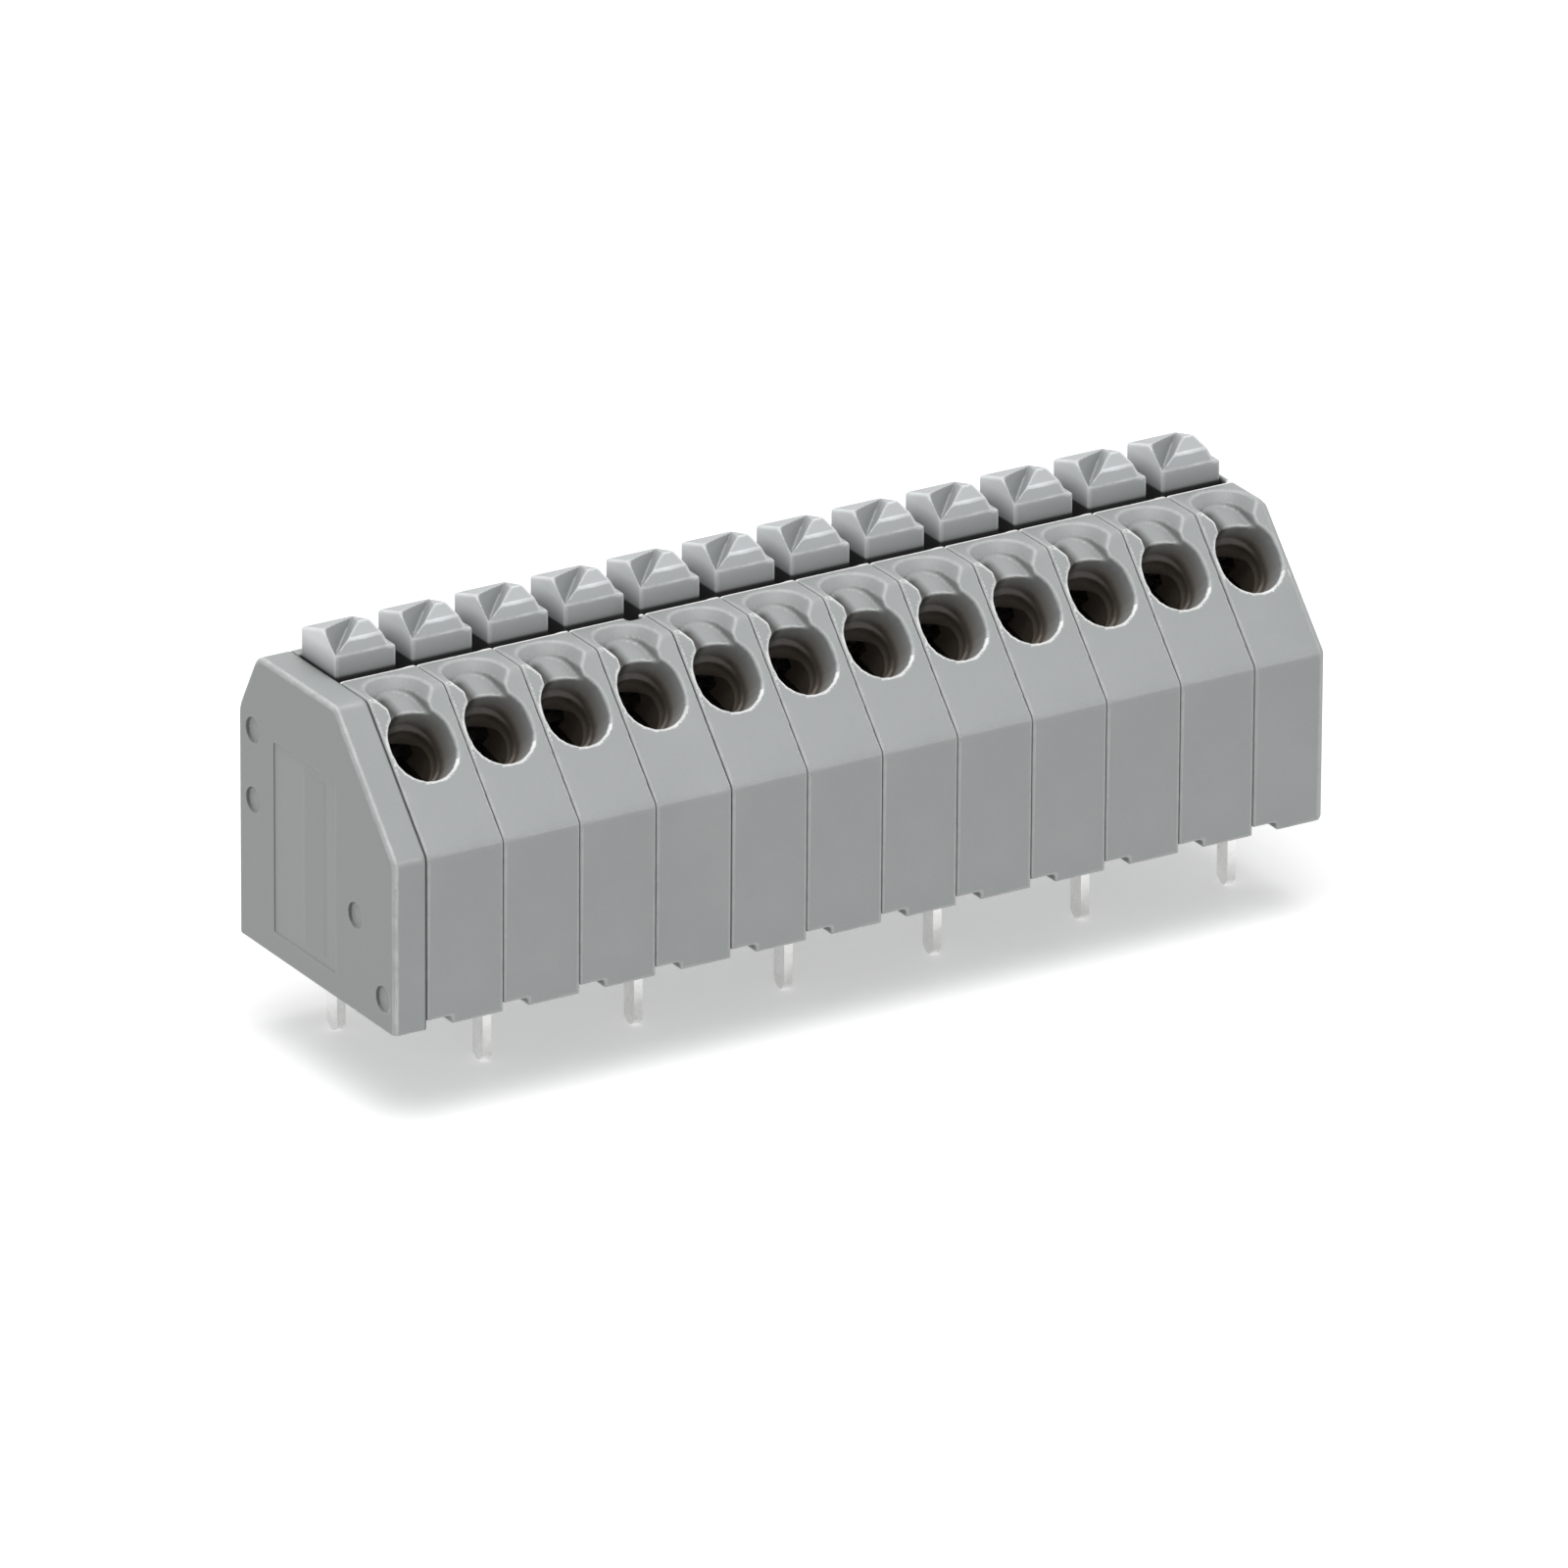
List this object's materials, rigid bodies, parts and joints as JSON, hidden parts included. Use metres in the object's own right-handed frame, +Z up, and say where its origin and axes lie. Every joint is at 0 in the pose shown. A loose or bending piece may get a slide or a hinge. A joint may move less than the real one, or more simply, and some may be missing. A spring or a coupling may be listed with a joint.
{
  "type": "pcb terminal block",
  "caption": "Grey circuit board terminal strip: a row of slab housings with sloped round wire entries, sprung push buttons along the top, an end plate and two staggered rows of solder pins.",
  "frame": {"origin": "centre of the underside that sits on the circuit board", "axes": "+X along the row away from the end plate, +Y to the back, away from the wire entries, +Z up from the board"},
  "size_m": [0.0434, 0.0123, 0.0181],
  "materials": {
    "housing_plastic": "satin moulded",
    "button_plastic": "satin moulded",
    "tinned_contact": "bright tin plate",
    "spring_steel": "stamped"
  },
  "bodies": {
    "strip": {"end_plate": "housing_plastic", "pole_housing_01": "housing_plastic", "contact_01": "tinned_contact", "clamp_spring_01": "spring_steel", "pole_housing_02": "housing_plastic", "contact_02": "tinned_contact", "clamp_spring_02": "spring_steel", "pole_housing_03": "housing_plastic", "contact_03": "tinned_contact", "clamp_spring_03": "spring_steel", "pole_housing_04": "housing_plastic", "contact_04": "tinned_contact", "clamp_spring_04": "spring_steel", "pole_housing_05": "housing_plastic", "contact_05": "tinned_contact", "clamp_spring_05": "spring_steel", "pole_housing_06": "housing_plastic", "contact_06": "tinned_contact", "clamp_spring_06": "spring_steel", "pole_housing_07": "housing_plastic", "contact_07": "tinned_contact", "clamp_spring_07": "spring_steel", "pole_housing_08": "housing_plastic", "contact_08": "tinned_contact", "clamp_spring_08": "spring_steel", "pole_housing_09": "housing_plastic", "contact_09": "tinned_contact", "clamp_spring_09": "spring_steel", "pole_housing_10": "housing_plastic", "contact_10": "tinned_contact", "clamp_spring_10": "spring_steel", "pole_housing_11": "housing_plastic", "contact_11": "tinned_contact", "clamp_spring_11": "spring_steel", "pole_housing_12": "housing_plastic", "contact_12": "tinned_contact", "clamp_spring_12": "spring_steel"},
    "button_01": {"push_button_01": "button_plastic"},
    "button_02": {"push_button_02": "button_plastic"},
    "button_03": {"push_button_03": "button_plastic"},
    "button_04": {"push_button_04": "button_plastic"},
    "button_05": {"push_button_05": "button_plastic"},
    "button_06": {"push_button_06": "button_plastic"},
    "button_07": {"push_button_07": "button_plastic"},
    "button_08": {"push_button_08": "button_plastic"},
    "button_09": {"push_button_09": "button_plastic"},
    "button_10": {"push_button_10": "button_plastic"},
    "button_11": {"push_button_11": "button_plastic"},
    "button_12": {"push_button_12": "button_plastic"}
  },
  "joints": [
    {"name": "button_01_press", "type": "slide", "parent": "strip", "child": "button_01", "axis": [0, 0, -1], "range_m": [0, 0.001], "stiffness_N_per_m": 300, "springref_m": -0.0005, "deforming": ["clamp_spring_01"]},
    {"name": "button_02_press", "type": "slide", "parent": "strip", "child": "button_02", "axis": [0, 0, -1], "range_m": [0, 0.001], "stiffness_N_per_m": 300, "springref_m": -0.0005, "deforming": ["clamp_spring_02"]},
    {"name": "button_03_press", "type": "slide", "parent": "strip", "child": "button_03", "axis": [0, 0, -1], "range_m": [0, 0.001], "stiffness_N_per_m": 300, "springref_m": -0.0005, "deforming": ["clamp_spring_03"]},
    {"name": "button_04_press", "type": "slide", "parent": "strip", "child": "button_04", "axis": [0, 0, -1], "range_m": [0, 0.001], "stiffness_N_per_m": 300, "springref_m": -0.0005, "deforming": ["clamp_spring_04"]},
    {"name": "button_05_press", "type": "slide", "parent": "strip", "child": "button_05", "axis": [0, 0, -1], "range_m": [0, 0.001], "stiffness_N_per_m": 300, "springref_m": -0.0005, "deforming": ["clamp_spring_05"]},
    {"name": "button_06_press", "type": "slide", "parent": "strip", "child": "button_06", "axis": [0, 0, -1], "range_m": [0, 0.001], "stiffness_N_per_m": 300, "springref_m": -0.0005, "deforming": ["clamp_spring_06"]},
    {"name": "button_07_press", "type": "slide", "parent": "strip", "child": "button_07", "axis": [0, 0, -1], "range_m": [0, 0.001], "stiffness_N_per_m": 300, "springref_m": -0.0005, "deforming": ["clamp_spring_07"]},
    {"name": "button_08_press", "type": "slide", "parent": "strip", "child": "button_08", "axis": [0, 0, -1], "range_m": [0, 0.001], "stiffness_N_per_m": 300, "springref_m": -0.0005, "deforming": ["clamp_spring_08"]},
    {"name": "button_09_press", "type": "slide", "parent": "strip", "child": "button_09", "axis": [0, 0, -1], "range_m": [0, 0.001], "stiffness_N_per_m": 300, "springref_m": -0.0005, "deforming": ["clamp_spring_09"]},
    {"name": "button_10_press", "type": "slide", "parent": "strip", "child": "button_10", "axis": [0, 0, -1], "range_m": [0, 0.001], "stiffness_N_per_m": 300, "springref_m": -0.0005, "deforming": ["clamp_spring_10"]},
    {"name": "button_11_press", "type": "slide", "parent": "strip", "child": "button_11", "axis": [0, 0, -1], "range_m": [0, 0.001], "stiffness_N_per_m": 300, "springref_m": -0.0005, "deforming": ["clamp_spring_11"]},
    {"name": "button_12_press", "type": "slide", "parent": "strip", "child": "button_12", "axis": [0, 0, -1], "range_m": [0, 0.001], "stiffness_N_per_m": 300, "springref_m": -0.0005, "deforming": ["clamp_spring_12"]}
  ]
}
